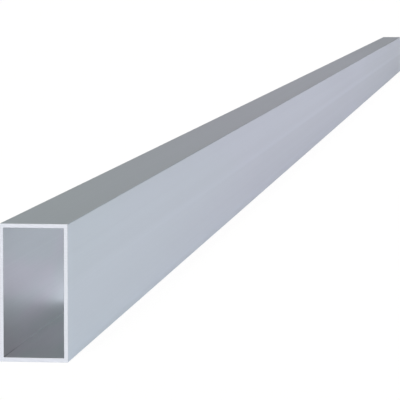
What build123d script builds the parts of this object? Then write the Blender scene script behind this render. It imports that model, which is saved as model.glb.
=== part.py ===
"""Rectangular aluminium tube, 100 x 50 x 3 mm, in a 6 m mill length.

One extruded piece: a hollow rectangle of even wall, with small die radii at its eight corners,
sawn square at both ends and deburred there. It lies along Y on its narrow side. The origin is in
the middle of the underside, +Z is up, and the end that the photograph shows faces -Y.
"""
from build123d import *
import os

# Section, as a stockist lists it: height x width x wall
tube_height = 100.0
tube_width = 50.0
wall = 3.0

# Mill length
tube_length = 6000.0

# The die's corners are close to sharp, outside and inside
outer_corner_radius = 0.5
inner_corner_radius = 0.5

# Edge break left by the deburring tool, round the inside and the outside of each sawn end
deburr = 0.2

# What the driving sizes give
bore_width = tube_width - 2 * wall
bore_height = tube_height - 2 * wall
front_end_plane = Plane.XZ.offset(tube_length / 2)

with BuildPart() as rectangular_tube:
    # The die's section, standing on the ground line
    with BuildSketch(front_end_plane) as section:
        with Locations((0, tube_height / 2)):
            RectangleRounded(tube_width, tube_height, outer_corner_radius)
            RectangleRounded(bore_width, bore_height, inner_corner_radius, mode=Mode.SUBTRACT)

    # The extrusion runs from the front end back along +Y
    extrude(amount=-tube_length)

    # Both saw cuts are square to the length, and their rims are deburred
    sawn_ends = faces().filter_by(Axis.Y)
    chamfer(sawn_ends.edges(), deburr)

rectangular_tube.part.label = "rectangular_tube"

os.makedirs("parts", exist_ok=True)
export_step(rectangular_tube.part, "parts/rectangular_tube.step")
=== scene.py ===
"""The looks of a rectangular aluminium tube, 100 x 50 x 3 mm in its 6 m mill length.

The tube is one extrusion with four finishes: satin anodised outside, mill finish in the bore,
bright saw cuts on the two ends, and deburred rims round those. It is swept by Geometry Nodes at
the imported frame's size, and stands on a white floor as the photograph shows it. Lengths are in
metres.
"""
import bpy
import math
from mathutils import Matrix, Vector


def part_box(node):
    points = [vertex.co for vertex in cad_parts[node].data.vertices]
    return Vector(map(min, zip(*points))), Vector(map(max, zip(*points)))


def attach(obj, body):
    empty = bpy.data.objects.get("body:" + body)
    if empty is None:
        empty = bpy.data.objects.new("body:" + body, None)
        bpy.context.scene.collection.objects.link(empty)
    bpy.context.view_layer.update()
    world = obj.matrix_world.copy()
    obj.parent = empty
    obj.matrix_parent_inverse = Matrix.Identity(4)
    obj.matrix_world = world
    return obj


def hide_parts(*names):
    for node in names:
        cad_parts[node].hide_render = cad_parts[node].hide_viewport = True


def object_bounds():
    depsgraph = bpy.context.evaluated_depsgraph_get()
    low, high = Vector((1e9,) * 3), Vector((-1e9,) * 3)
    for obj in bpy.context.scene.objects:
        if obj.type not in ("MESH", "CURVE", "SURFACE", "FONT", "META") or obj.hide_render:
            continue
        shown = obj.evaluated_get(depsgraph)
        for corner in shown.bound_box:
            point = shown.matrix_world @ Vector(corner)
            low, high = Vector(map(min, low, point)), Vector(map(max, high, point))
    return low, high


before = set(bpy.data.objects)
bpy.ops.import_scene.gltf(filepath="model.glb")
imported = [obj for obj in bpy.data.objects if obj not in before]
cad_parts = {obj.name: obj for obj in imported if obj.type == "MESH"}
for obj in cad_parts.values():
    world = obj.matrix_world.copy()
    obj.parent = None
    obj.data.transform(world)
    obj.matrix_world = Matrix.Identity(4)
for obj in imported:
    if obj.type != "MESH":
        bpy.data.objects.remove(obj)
cad_low, cad_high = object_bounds()
cad_size = cad_high - cad_low

MM = 0.001
NODE = "rectangular_tube"

# The extrusion, in its stock sizes
WALL = 3 * MM
OUTER_CORNER = 0.5 * MM
INNER_CORNER = 0.5 * MM
CORNER_STEPS = 6
DEBURR = 0.2 * MM

# What tells its faces apart, in their normals: how far a corner's leans both sideways and up or
# down, and how far a rim's and a saw cut's point along the tube
CORNER_LEANS = 0.01
RIM_FACES_ALONG = 0.5
CUT_FACES_ALONG = 0.9

# Patterns that are drawn out along the tube: how wide each is across it and how long along it.
# Real die and mandrel lines are a few hundredths of a millimetre apart, so those two are drawn
# this coarse to show at all.
FILM_PATCHES = (60 * MM, 1.1)
FILM_STREAKS = (11 * MM, 3.0)
DIE_LINES = (1.4 * MM, 2.5)
BLOOM_PATCHES = (30 * MM, 0.18)
MANDREL_LINES = (2.0 * MM, 2.0)

# The anodic film's tint at places along the tube, measured from its middle. The last, darker one is
# painted shade for the far end.
FILM_TINTS_AND_FAR_SHADE = ((-2.8, "#C3CEDD"), (-1.5, "#C7CDE1"), (0.6, "#C7CDE2"), (2.4, "#BFC6D9"))

# Painted shade at heights up the tube, where the side mirrors less light: darker in the lower half
# and on the top face. A faint lighter line halfway up is partly the weld where the metal shut
# itself behind the die's core and partly a painted reflection. It comes in between two places along
# the tube.
FILM_PAINTED_SHADES = (
    (15 * MM, 0.87),
    (49 * MM, 0.915),
    (53 * MM, 0.99),
    (61 * MM, 0.955),
    (85 * MM, 1.0),
    (97 * MM, 1.0),
    (99 * MM, 0.975),
)
PAINTED_SHADES_COME_IN = (-3.3, -1.5)

# The bare metal in the bore, between whose two tints the bloom varies
BLOOM_TINTS = ("#C0C6C2", "#C6C5C5")

# The saw: a 450 mm blade that came down on the tube from above, how far apart its teeth's marks
# are drawn, and the tints that they alternate between. Real marks are 0.1 mm apart, which is too
# fine to show.
BLADE_CENTRE = (40 * MM, 0, 300 * MM)
TOOTH_MARKS = 0.8 * MM
SAW_CUT_TINTS = ("#D2D6E1", "#E1E5EE")

# How far apart the deburring blade's ripples are, and the tint of the rims that it scraped
BLADE_RIPPLE = 0.6 * MM
RIM_TINT = "#D2D6DE"

# Where the camera stood, measured from the middle of the underside, how it was turned, its lens,
# and between what distances it sees
CAMERA_PLACE = (336.513 * MM, -4881.323 * MM, 277.222 * MM)
CAMERA_TURN = (90 - 4.7891, -0.051, 6.5528)
PHOTO_WIDTH_PX = 400
FOCAL_LENGTH_PX = 2667.91
SENSOR_WIDTH_MM = 36
NEAREST_SEEN = 0.05
FARTHEST_SEEN = 1000

# The white floor: how far it reaches to each side, how far below the tube it lies, its paint, and
# what share of its picture is plain white rather than lit paint
FLOOR_REACH = 150
FLOOR_CLEARANCE = 0.1 * MM
FLOOR_PAINT = "#F7F7F7"
FLOOR_WHITE_SEEN = 0.86
FLOOR_WHITE_MIRRORED = 0.5
PLAIN_WHITE = "#FFFFFF"

# The grey room's colour at eye level and overhead, and how far up it starts and ends to turn from
# the one to the other
ROOM_TINTS = ("#84827D", "#B4B1A4")
ROOM_TURNS = (0.07, 0.77)

# The two keys: the strength of each, the degrees that it spans, and which way it shines. The wide
# one, as broad as a studio's white wall, is what the metal shows, so that it has no glare from any
# side. The narrow one gives the matt floor its light and the tube's shadow.
WIDE_KEY = ("wide_key", 2.45, 120, (-0.1, 0.7, -0.7))
FLOOR_KEY = ("floor_key", 3.7, 40, (-0.1, 0.765, -0.64))

# The lamps in the bore. Those along its hidden wall: how far from the mouth each begins and ends,
# the heights between which it glows, and how brightly. The one on its floor, which the walls
# mirror: where it begins and ends, its width, and how brightly it glows.
BORE_WALL_LAMPS = (
    ("bore_high", 45 * MM, 450 * MM, 40 * MM, 96 * MM, 0.51),
    ("bore_low", 80 * MM, 520 * MM, 4 * MM, 40 * MM, 0.37),
    ("bore_deep", 520 * MM, 900 * MM, 40 * MM, 96 * MM, 1.85),
)
BORE_WALL_LAMP_ASIDE = 21.4 * MM
BORE_FLOOR_LAMP = (325 * MM, 1000 * MM, 42 * MM, 0.82)
BORE_FLOOR_LAMP_HEIGHT = 3.6 * MM
BORE_LAMP_TINT = (0.95, 0.97, 1.14)


def linear(hex_colour):
    """An sRGB hex colour as linear red, green, blue and a full alpha."""
    channels = [int(hex_colour[i : i + 2], 16) / 255 for i in (1, 3, 5)]
    return [c / 12.92 if c <= 0.04045 else ((c + 0.055) / 1.055) ** 2.4 for c in channels] + [1]


def add(tree, kind, inputs=None, **settings):
    """Adds a node. Settings are its properties, and inputs its sockets, each a value or a link."""
    node = tree.nodes.new(kind)
    for name, value in settings.items():
        setattr(node, name, value)
    for name, value in (inputs or {}).items():
        if isinstance(value, bpy.types.NodeSocket):
            tree.links.new(value, node.inputs[name])
        else:
            node.inputs[name].default_value = value
    return node


def new_material(name):
    """A material with an empty node tree and its output node."""
    material = bpy.data.materials.new(name)
    material.use_nodes = True
    tree = material.node_tree
    tree.nodes.clear()
    return material, tree, add(tree, "ShaderNodeOutputMaterial")


# Materials


def lengthwise(tree, across, along, detail=2.0):
    """Noise drawn out along the tube, with patches of that width across it and length along it."""
    place = add(tree, "ShaderNodeTexCoord").outputs["Object"]
    scaled = add(
        tree,
        "ShaderNodeMapping",
        {"Vector": place, "Scale": (1 / across, 1 / along, 1 / across)},
    )
    return add(
        tree,
        "ShaderNodeTexNoise",
        {"Vector": scaled.outputs["Vector"], "Scale": 1.0, "Detail": detail},
    ).outputs["Fac"]


def satin_anodised():
    """Natural anodised aluminium, etched before the bath: an even satin grey with a cool cast.
    As on any long length, the film isn't quite the same all along: it drifts from a greener to a
    more lilac grey, with faint lighter streaks, and the die's lines just break its sheen. Painted
    shade darkens its far end, and along the far part it also darkens the lower half and the top
    face."""
    material, tree, output = new_material("satin_anodised_skin")
    place = add(tree, "ShaderNodeTexCoord").outputs["Object"]
    spot = add(tree, "ShaderNodeSeparateXYZ", {"Vector": place}).outputs
    patches = add(
        tree,
        "ShaderNodeMapRange",
        {"Value": lengthwise(tree, *FILM_PATCHES), "To Min": 0.4, "To Max": 0.6},
    ).outputs["Result"]
    along = add(
        tree,
        "ShaderNodeMath",
        {0: spot["Y"], 1: 1 / cad_size.y, 2: patches},
        operation="MULTIPLY_ADD",
    ).outputs["Value"]
    up = add(
        tree, "ShaderNodeMath", {0: spot["Z"], 1: 1 / cad_size.z}, operation="MULTIPLY"
    ).outputs["Value"]
    # The film's tint along the tube, with painted shade at the far end
    film = add(tree, "ShaderNodeValToRGB", {"Fac": along})
    # A ramp of painted shade by height up the tube
    shade = add(tree, "ShaderNodeValToRGB", {"Fac": up})
    tints_and_far_shade = [(length / cad_size.y + 0.5, linear(tint)) for length, tint in FILM_TINTS_AND_FAR_SHADE]
    shades = [(height / cad_size.z, [light] * 3 + [1]) for height, light in FILM_PAINTED_SHADES]
    for ramp, stops in ((film.color_ramp, tints_and_far_shade), (shade.color_ramp, shades)):
        ramp.elements.remove(ramp.elements[1])
        for number, (position, colour) in enumerate(stops):
            stop = ramp.elements.new(position) if number else ramp.elements[0]
            stop.position = position
            stop.color = colour
    # How far the painted shade has come in, along the far part of the tube
    painted_shade_weight = add(
        tree,
        "ShaderNodeMapRange",
        {
            "Value": spot["Y"],
            "From Min": PAINTED_SHADES_COME_IN[0],
            "From Max": PAINTED_SHADES_COME_IN[1],
        },
    ).outputs["Result"]
    shaded = add(
        tree,
        "ShaderNodeMix",
        {"Factor": painted_shade_weight, "A": film.outputs["Color"], "B": shade.outputs["Color"]},
        data_type="RGBA",
        blend_type="MULTIPLY",
    ).outputs["Result"]
    streaks = add(
        tree,
        "ShaderNodeMapRange",
        {
            "Value": lengthwise(tree, *FILM_STREAKS),
            "From Min": 0.3,
            "From Max": 0.7,
            "To Min": 0.985,
            "To Max": 1.015,
        },
    ).outputs["Result"]
    tint = add(tree, "ShaderNodeVectorMath", {0: shaded, "Scale": streaks}, operation="SCALE")
    die_lines = lengthwise(tree, *DIE_LINES, detail=3.0)
    roughness = add(
        tree,
        "ShaderNodeMapRange",
        {"Value": die_lines, "To Min": 0.44, "To Max": 0.54},
    )
    relief = add(
        tree,
        "ShaderNodeBump",
        {"Height": die_lines, "Strength": 0.15, "Distance": 0.02 * MM},
    )
    surface = add(
        tree,
        "ShaderNodeBsdfPrincipled",
        {
            "Base Color": tint.outputs["Vector"],
            "Metallic": 1.0,
            "Roughness": roughness.outputs["Result"],
            "Normal": relief.outputs["Normal"],
        },
    )
    tree.links.new(surface.outputs["BSDF"], output.inputs["Surface"])
    return material


def mill_finish():
    """Mill finish, as the die's mandrel left it and no bath has etched it: smoother than the
    outside, so that it mirrors what is deeper in the bore, with lines along it and a patchy
    bloom between a greener and a more lilac grey."""
    material, tree, output = new_material("mill_finish_bore")
    mandrel_lines = lengthwise(tree, *MANDREL_LINES, detail=3.0)
    bloom = add(
        tree,
        "ShaderNodeMapRange",
        {"Value": lengthwise(tree, *BLOOM_PATCHES), "From Min": 0.35, "From Max": 0.65},
        interpolation_type="SMOOTHSTEP",
    ).outputs["Result"]
    metal = add(
        tree,
        "ShaderNodeMix",
        {"Factor": bloom, "A": linear(BLOOM_TINTS[0]), "B": linear(BLOOM_TINTS[1])},
        data_type="RGBA",
    ).outputs["Result"]
    lines = add(
        tree,
        "ShaderNodeMapRange",
        {
            "Value": mandrel_lines,
            "From Min": 0.3,
            "From Max": 0.7,
            "To Min": 0.98,
            "To Max": 1.02,
        },
    ).outputs["Result"]
    tint = add(tree, "ShaderNodeVectorMath", {0: metal, "Scale": lines}, operation="SCALE")
    relief = add(
        tree,
        "ShaderNodeBump",
        {"Height": mandrel_lines, "Strength": 0.2, "Distance": 0.03 * MM},
    )
    surface = add(
        tree,
        "ShaderNodeBsdfPrincipled",
        {
            "Base Color": tint.outputs["Vector"],
            "Metallic": 1.0,
            "Roughness": 0.36,
            "Normal": relief.outputs["Normal"],
        },
    )
    tree.links.new(surface.outputs["BSDF"], output.inputs["Surface"])
    return material


def saw_cut():
    """Bare metal fresh from a fine carbide saw: bright, with the shallow arcs that the teeth
    leave as the blade comes down through the tube."""
    material, tree, output = new_material("saw_cut_aluminium")
    place = add(tree, "ShaderNodeTexCoord").outputs["Object"]
    from_blade = add(
        tree, "ShaderNodeVectorMath", {0: place, 1: BLADE_CENTRE}, operation="SUBTRACT"
    ).outputs["Vector"]
    in_the_cut = add(
        tree, "ShaderNodeVectorMath", {0: from_blade, 1: (1, 0, 1)}, operation="MULTIPLY"
    ).outputs["Vector"]
    reach = add(
        tree, "ShaderNodeVectorMath", {0: in_the_cut}, operation="LENGTH"
    ).outputs["Value"]
    teeth = add(
        tree,
        "ShaderNodeTexNoise",
        {"W": reach, "Scale": 1 / TOOTH_MARKS, "Detail": 2.0},
        noise_dimensions="1D",
    ).outputs["Fac"]
    tint = add(
        tree,
        "ShaderNodeMix",
        {"Factor": teeth, "A": linear(SAW_CUT_TINTS[0]), "B": linear(SAW_CUT_TINTS[1])},
        data_type="RGBA",
    )
    roughness = add(
        tree, "ShaderNodeMapRange", {"Value": teeth, "To Min": 0.48, "To Max": 0.32}
    )
    relief = add(
        tree, "ShaderNodeBump", {"Height": teeth, "Strength": 0.3, "Distance": 0.03 * MM}
    )
    surface = add(
        tree,
        "ShaderNodeBsdfPrincipled",
        {
            "Base Color": tint.outputs["Result"],
            "Metallic": 1.0,
            "Roughness": roughness.outputs["Result"],
            "Normal": relief.outputs["Normal"],
        },
    )
    tree.links.new(surface.outputs["BSDF"], output.inputs["Surface"])
    return material


def deburred():
    """Bare metal that the deburring blade has scraped: smoother than the saw cut beside it, with
    the small ripple of a blade that was drawn along by hand."""
    material, tree, output = new_material("deburred_aluminium")
    place = add(tree, "ShaderNodeTexCoord").outputs["Object"]
    ripple = add(
        tree,
        "ShaderNodeTexNoise",
        {"Vector": place, "Scale": 1 / BLADE_RIPPLE, "Detail": 1.0},
    ).outputs["Fac"]
    roughness = add(
        tree, "ShaderNodeMapRange", {"Value": ripple, "To Min": 0.14, "To Max": 0.3}
    )
    relief = add(
        tree, "ShaderNodeBump", {"Height": ripple, "Strength": 0.2, "Distance": 0.02 * MM}
    )
    surface = add(
        tree,
        "ShaderNodeBsdfPrincipled",
        {
            "Base Color": linear(RIM_TINT),
            "Metallic": 1.0,
            "Roughness": roughness.outputs["Result"],
            "Normal": relief.outputs["Normal"],
        },
    )
    tree.links.new(surface.outputs["BSDF"], output.inputs["Surface"])
    return material


# The extrusion


def outline(tree, size, inset, corner, level):
    """The section's outer outline, moved inwards by an inset and given its own corner radius, at
    a level along the length."""
    sides = [
        add(
            tree,
            "ShaderNodeMath",
            {0: inset, 1: -2.0, 2: size[side]},
            operation="MULTIPLY_ADD",
        ).outputs["Value"]
        for side in ("Width", "Height")
    ]
    square = add(
        tree, "GeometryNodeCurvePrimitiveQuadrilateral", {"Width": sides[0], "Height": sides[1]}
    )
    rounded = add(
        tree,
        "GeometryNodeFilletCurve",
        {"Curve": square.outputs["Curve"], "Radius": corner, "Count": size["Corner Steps"]},
        mode="POLY",
    )
    place = add(tree, "ShaderNodeCombineXYZ", {"Z": level})
    return add(
        tree,
        "GeometryNodeTransform",
        {"Geometry": rounded.outputs["Curve"], "Translation": place.outputs["Vector"]},
    ).outputs["Geometry"]


def extrusion_tree(skin, bore, cut, rim):
    """The tube as one closed skin of quads, laid over eight outlines: along the outside, round
    the front rim into the bore, back through the bore and round the back rim."""
    tree = bpy.data.node_groups.new("hollow_extrusion", "GeometryNodeTree")
    for name in ("Width", "Height", "Length", "Wall", "Outer Corner", "Inner Corner", "Deburr"):
        tree.interface.new_socket(name, in_out="INPUT", socket_type="NodeSocketFloat")
    tree.interface.new_socket("Corner Steps", in_out="INPUT", socket_type="NodeSocketInt")
    tree.interface.new_socket("Middle", in_out="INPUT", socket_type="NodeSocketVector")
    tree.interface.new_socket("Mesh", in_out="OUTPUT", socket_type="NodeSocketGeometry")
    size = add(tree, "NodeGroupInput").outputs

    # How far the two rims lie inside the outer faces, and how tightly they turn the corners
    bore_rim = add(
        tree, "ShaderNodeMath", {0: size["Wall"], 1: size["Deburr"]}, operation="SUBTRACT"
    ).outputs["Value"]
    outer_rim_corner = add(
        tree, "ShaderNodeMath", {0: size["Outer Corner"], 1: size["Deburr"]}, operation="SUBTRACT"
    ).outputs["Value"]
    bore_rim_corner = add(
        tree, "ShaderNodeMath", {0: size["Inner Corner"], 1: size["Deburr"]}, operation="ADD"
    ).outputs["Value"]

    # The levels of the two saw cuts, and of the edges where the deburring starts
    front_cut = add(
        tree, "ShaderNodeMath", {0: size["Length"], 1: 0.5}, operation="MULTIPLY"
    ).outputs["Value"]
    front_edge = add(
        tree, "ShaderNodeMath", {0: front_cut, 1: size["Deburr"]}, operation="SUBTRACT"
    ).outputs["Value"]
    back_cut = add(
        tree, "ShaderNodeMath", {0: front_cut, 1: -1.0}, operation="MULTIPLY"
    ).outputs["Value"]
    back_edge = add(
        tree, "ShaderNodeMath", {0: front_edge, 1: -1.0}, operation="MULTIPLY"
    ).outputs["Value"]
    stations = (
        (0.0, size["Outer Corner"], back_edge),
        (0.0, size["Outer Corner"], front_edge),
        (size["Deburr"], outer_rim_corner, front_cut),
        (bore_rim, bore_rim_corner, front_cut),
        (size["Wall"], size["Inner Corner"], front_edge),
        (size["Wall"], size["Inner Corner"], back_edge),
        (bore_rim, bore_rim_corner, back_cut),
        (size["Deburr"], outer_rim_corner, back_cut),
    )
    outlines = add(tree, "GeometryNodeJoinGeometry")
    # A join takes its links last first
    for inset, corner, level in reversed(stations):
        tree.links.new(outline(tree, size, inset, corner, level), outlines.inputs["Geometry"])

    # A grid with a row for each outline and a column for each point round it, and one more of
    # each to close it
    around = add(
        tree,
        "FunctionNodeIntegerMath",
        {0: size["Corner Steps"], 1: 4, 2: 4},
        operation="MULTIPLY_ADD",
    ).outputs["Value"]
    columns = add(
        tree, "FunctionNodeIntegerMath", {0: around, 1: 1}, operation="ADD"
    ).outputs["Value"]
    rows = len(stations) + 1
    grid = add(
        tree, "GeometryNodeMeshGrid", {"Vertices X": columns, "Vertices Y": rows}
    ).outputs["Mesh"]
    index = add(tree, "GeometryNodeInputIndex").outputs["Index"]
    row = add(
        tree, "FunctionNodeIntegerMath", {0: index, 1: rows}, operation="MODULO"
    ).outputs["Value"]
    station = add(
        tree, "FunctionNodeIntegerMath", {0: row, 1: len(stations)}, operation="MODULO"
    ).outputs["Value"]
    column = add(
        tree, "FunctionNodeIntegerMath", {0: index, 1: rows}, operation="DIVIDE_FLOOR"
    ).outputs["Value"]
    turn = add(
        tree, "FunctionNodeIntegerMath", {0: column, 1: around}, operation="MODULO"
    ).outputs["Value"]
    point = add(
        tree,
        "FunctionNodeIntegerMath",
        {0: station, 1: around, 2: turn},
        operation="MULTIPLY_ADD",
    ).outputs["Value"]
    place = add(tree, "GeometryNodeInputPosition").outputs["Position"]
    target = add(
        tree,
        "GeometryNodeSampleIndex",
        {"Geometry": outlines.outputs["Geometry"], "Value": place, "Index": point},
        data_type="FLOAT_VECTOR",
    ).outputs["Value"]
    draped = add(tree, "GeometryNodeSetPosition", {"Geometry": grid, "Position": target})
    closed = add(
        tree,
        "GeometryNodeMergeByDistance",
        {"Geometry": draped.outputs["Geometry"], "Distance": 0.001 * MM},
    )
    laid = add(
        tree,
        "GeometryNodeTransform",
        {
            "Geometry": closed.outputs["Geometry"],
            "Rotation": (math.pi / 2, 0, 0),
            "Translation": size["Middle"],
        },
    ).outputs["Geometry"]

    # Only the corners are round: faces that look straight up, down or sideways stay flat, and so
    # do the rims
    normal = add(tree, "GeometryNodeInputNormal").outputs["True Normal"]
    facing = add(tree, "ShaderNodeSeparateXYZ", {"Vector": normal}).outputs
    slant = add(
        tree, "ShaderNodeMath", {0: facing["X"], 1: facing["Z"]}, operation="MULTIPLY"
    ).outputs["Value"]
    steepness = add(
        tree, "ShaderNodeMath", {0: slant}, operation="ABSOLUTE"
    ).outputs["Value"]
    is_corner = add(
        tree, "FunctionNodeCompare", {"A": steepness, "B": CORNER_LEANS}, operation="GREATER_THAN"
    ).outputs["Result"]
    along = add(tree, "ShaderNodeMath", {0: facing["Y"]}, operation="ABSOLUTE").outputs["Value"]
    is_rim = add(
        tree, "FunctionNodeCompare", {"A": along, "B": RIM_FACES_ALONG}, operation="GREATER_THAN"
    ).outputs["Result"]
    is_cut = add(
        tree, "FunctionNodeCompare", {"A": along, "B": CUT_FACES_ALONG}, operation="GREATER_THAN"
    ).outputs["Result"]
    is_round = add(
        tree, "FunctionNodeBooleanMath", {0: is_corner, 1: is_rim}, operation="NIMPLY"
    ).outputs["Boolean"]
    for where, smooth in ((True, False), (is_round, True)):
        laid = add(
            tree,
            "GeometryNodeSetShadeSmooth",
            {"Geometry": laid, "Selection": where, "Shade Smooth": smooth},
        ).outputs["Geometry"]

    from_axis = add(
        tree, "ShaderNodeVectorMath", {0: place, 1: size["Middle"]}, operation="SUBTRACT"
    ).outputs["Vector"]
    outward = add(
        tree, "ShaderNodeVectorMath", {0: normal, 1: from_axis}, operation="DOT_PRODUCT"
    ).outputs["Value"]
    faces_bore = add(
        tree, "FunctionNodeCompare", {"A": outward, "B": 0.0}, operation="LESS_THAN"
    ).outputs["Result"]
    real = add(tree, "GeometryNodeRealizeInstances", {"Geometry": laid}).outputs["Geometry"]
    for material, where in ((skin, True), (bore, faces_bore), (rim, is_rim), (cut, is_cut)):
        real = add(
            tree,
            "GeometryNodeSetMaterial",
            {"Geometry": real, "Selection": where, "Material": material},
        ).outputs["Geometry"]
    tree.links.new(real, add(tree, "NodeGroupOutput").inputs["Mesh"])
    return tree


def make_tube():
    """The tube at the frame's size as a plain mesh at its place."""
    low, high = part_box(NODE)
    size = high - low
    tree = extrusion_tree(satin_anodised(), mill_finish(), saw_cut(), deburred())
    made = {
        "Width": size.x,
        "Height": size.z,
        "Length": size.y,
        "Wall": WALL,
        "Outer Corner": OUTER_CORNER,
        "Inner Corner": INNER_CORNER,
        "Deburr": DEBURR,
        "Corner Steps": CORNER_STEPS,
        "Middle": (low + high) / 2,
    }
    draft = bpy.data.objects.new("draft", bpy.data.meshes.new("draft"))
    bpy.context.scene.collection.objects.link(draft)
    sweep = draft.modifiers.new("sweep", "NODES")
    sweep.node_group = tree
    for item in tree.interface.items_tree:
        if item.in_out == "INPUT":
            sweep[item.identifier] = made[item.name]
    mesh = bpy.data.meshes.new_from_object(
        draft.evaluated_get(bpy.context.evaluated_depsgraph_get())
    )
    bpy.data.objects.remove(draft)
    mesh.name = "tube"
    tube = bpy.data.objects.new("tube", mesh)
    bpy.context.scene.collection.objects.link(tube)
    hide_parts(NODE)
    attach(tube, "root")
    return tube


# The studio


def white_floor():
    """A matt white floor. The camera, and metal that mirrors it, see it as paper white with the
    object's soft shadow."""
    material, tree, output = new_material("white_floor")
    seen = add(tree, "ShaderNodeLightPath").outputs
    mirrored = add(
        tree,
        "ShaderNodeMath",
        {0: seen["Is Glossy Ray"], 1: seen["Is Transmission Ray"]},
        operation="MAXIMUM",
    ).outputs["Value"]
    mirrored_share = add(
        tree, "ShaderNodeMath", {0: mirrored, 1: FLOOR_WHITE_MIRRORED}, operation="MULTIPLY"
    ).outputs["Value"]
    share = add(
        tree,
        "ShaderNodeMath",
        {0: seen["Is Camera Ray"], 1: FLOOR_WHITE_SEEN, 2: mirrored_share},
        operation="MULTIPLY_ADD",
    ).outputs["Value"]
    paint = add(tree, "ShaderNodeBsdfDiffuse", {"Color": linear(FLOOR_PAINT)})
    white = add(tree, "ShaderNodeEmission", {"Color": linear(PLAIN_WHITE), "Strength": 1.0})
    mixed = add(
        tree,
        "ShaderNodeMixShader",
        {0: share, 1: paint.outputs["BSDF"], 2: white.outputs["Emission"]},
    )
    tree.links.new(mixed.outputs["Shader"], output.inputs["Surface"])
    return material


def make_floor():
    """The floor, so wide that its edge is out of sight, just below the tube."""
    height = cad_low.z - FLOOR_CLEARANCE
    corners = [
        (x * FLOOR_REACH, y * FLOOR_REACH, height) for x, y in ((-1, -1), (1, -1), (1, 1), (-1, 1))
    ]
    mesh = bpy.data.meshes.new("floor")
    mesh.from_pydata(corners, [], [(0, 1, 2, 3)])
    mesh.materials.append(white_floor())
    floor = bpy.data.objects.new("floor", mesh)
    bpy.context.scene.collection.objects.link(floor)


def make_world():
    """A grey room, lighter and warmer overhead, with white behind the object for the camera."""
    world = bpy.data.worlds.new("studio")
    world.use_nodes = True
    bpy.context.scene.world = world
    tree = world.node_tree
    tree.nodes.clear()
    direction = add(tree, "ShaderNodeTexCoord").outputs["Generated"]
    upward = add(tree, "ShaderNodeSeparateXYZ", {"Vector": direction}).outputs["Z"]
    height = add(
        tree,
        "ShaderNodeMapRange",
        {"Value": upward, "From Min": ROOM_TURNS[0], "From Max": ROOM_TURNS[1]},
        interpolation_type="SMOOTHSTEP",
    ).outputs["Result"]
    room = add(
        tree,
        "ShaderNodeMix",
        {"Factor": height, "A": linear(ROOM_TINTS[0]), "B": linear(ROOM_TINTS[1])},
        data_type="RGBA",
    ).outputs["Result"]
    seen = add(tree, "ShaderNodeLightPath").outputs["Is Camera Ray"]
    colour = add(
        tree,
        "ShaderNodeMix",
        {"Factor": seen, "A": room, "B": linear(PLAIN_WHITE)},
        data_type="RGBA",
    ).outputs["Result"]
    sky = add(tree, "ShaderNodeBackground", {"Color": colour, "Strength": 1.0})
    output = add(tree, "ShaderNodeOutputWorld")
    tree.links.new(sky.outputs["Background"], output.inputs["Surface"])


def aim(lamp, place, direction):
    """Puts a lamp in the scene at a place, shining in a direction."""
    holder = bpy.data.objects.new(lamp.name, lamp)
    holder.location = place
    holder.rotation_mode = "QUATERNION"
    holder.rotation_quaternion = Vector(direction).to_track_quat("-Z", "Y")
    bpy.context.scene.collection.objects.link(holder)
    return holder


def add_bore_lamp(name, place, direction, length, height, glow):
    """A flat lamp that the camera doesn't see. A glow of 1 is as bright as white paper."""
    lamp = bpy.data.lights.new(name, "AREA")
    lamp.shape = "RECTANGLE"
    lamp.size = length
    lamp.size_y = height
    lamp.energy = glow * math.pi * length * height
    lamp.color = BORE_LAMP_TINT
    aim(lamp, place, direction).visible_camera = False


def add_key(name, strength, span, direction):
    """A soft lamp as far away as the sun, so that its place makes no difference."""
    lamp = bpy.data.lights.new(name, "SUN")
    lamp.energy = strength
    lamp.angle = math.radians(span)
    return aim(lamp, (0, 0, 0), direction)


def make_lamps():
    """The two keys, and the lamps in the bore."""
    # The matt floor doesn't show the wide key, and the metal doesn't show the floor's
    add_key(*WIDE_KEY).visible_diffuse = False
    add_key(*FLOOR_KEY).visible_glossy = False

    # In the bore, at the front end and turned half round at the back end: lamps on the wall that
    # the view doesn't see, which light the one that it does, and one on the floor
    for end, mouth, inward in (("front", cad_low.y, 1), ("back", cad_high.y, -1)):
        for name, near, far, low, high, glow in BORE_WALL_LAMPS:
            place = (
                inward * BORE_WALL_LAMP_ASIDE,
                mouth + inward * (near + far) / 2,
                (low + high) / 2,
            )
            add_bore_lamp(
                name + "_" + end, place, (-inward, 0, 0), far - near, high - low, glow
            )
        near, far, width, glow = BORE_FLOOR_LAMP
        place = (0, mouth + inward * (near + far) / 2, BORE_FLOOR_LAMP_HEIGHT)
        add_bore_lamp("bore_floor_" + end, place, (0, 0, 1), width, far - near, glow)


def make_camera():
    """The camera at the photograph's place, with the photograph's long lens."""
    lens = bpy.data.cameras.new("camera")
    lens.sensor_width = SENSOR_WIDTH_MM
    lens.lens = FOCAL_LENGTH_PX / PHOTO_WIDTH_PX * SENSOR_WIDTH_MM
    lens.clip_start = NEAREST_SEEN
    lens.clip_end = FARTHEST_SEEN
    camera = bpy.data.objects.new("camera", lens)
    camera.location = CAMERA_PLACE
    camera.rotation_euler = [math.radians(angle) for angle in CAMERA_TURN]
    bpy.context.scene.collection.objects.link(camera)
    bpy.context.scene.camera = camera


make_camera()
make_tube()
make_floor()
make_world()
make_lamps()

bpy.context.scene.view_settings.view_transform = "Standard"
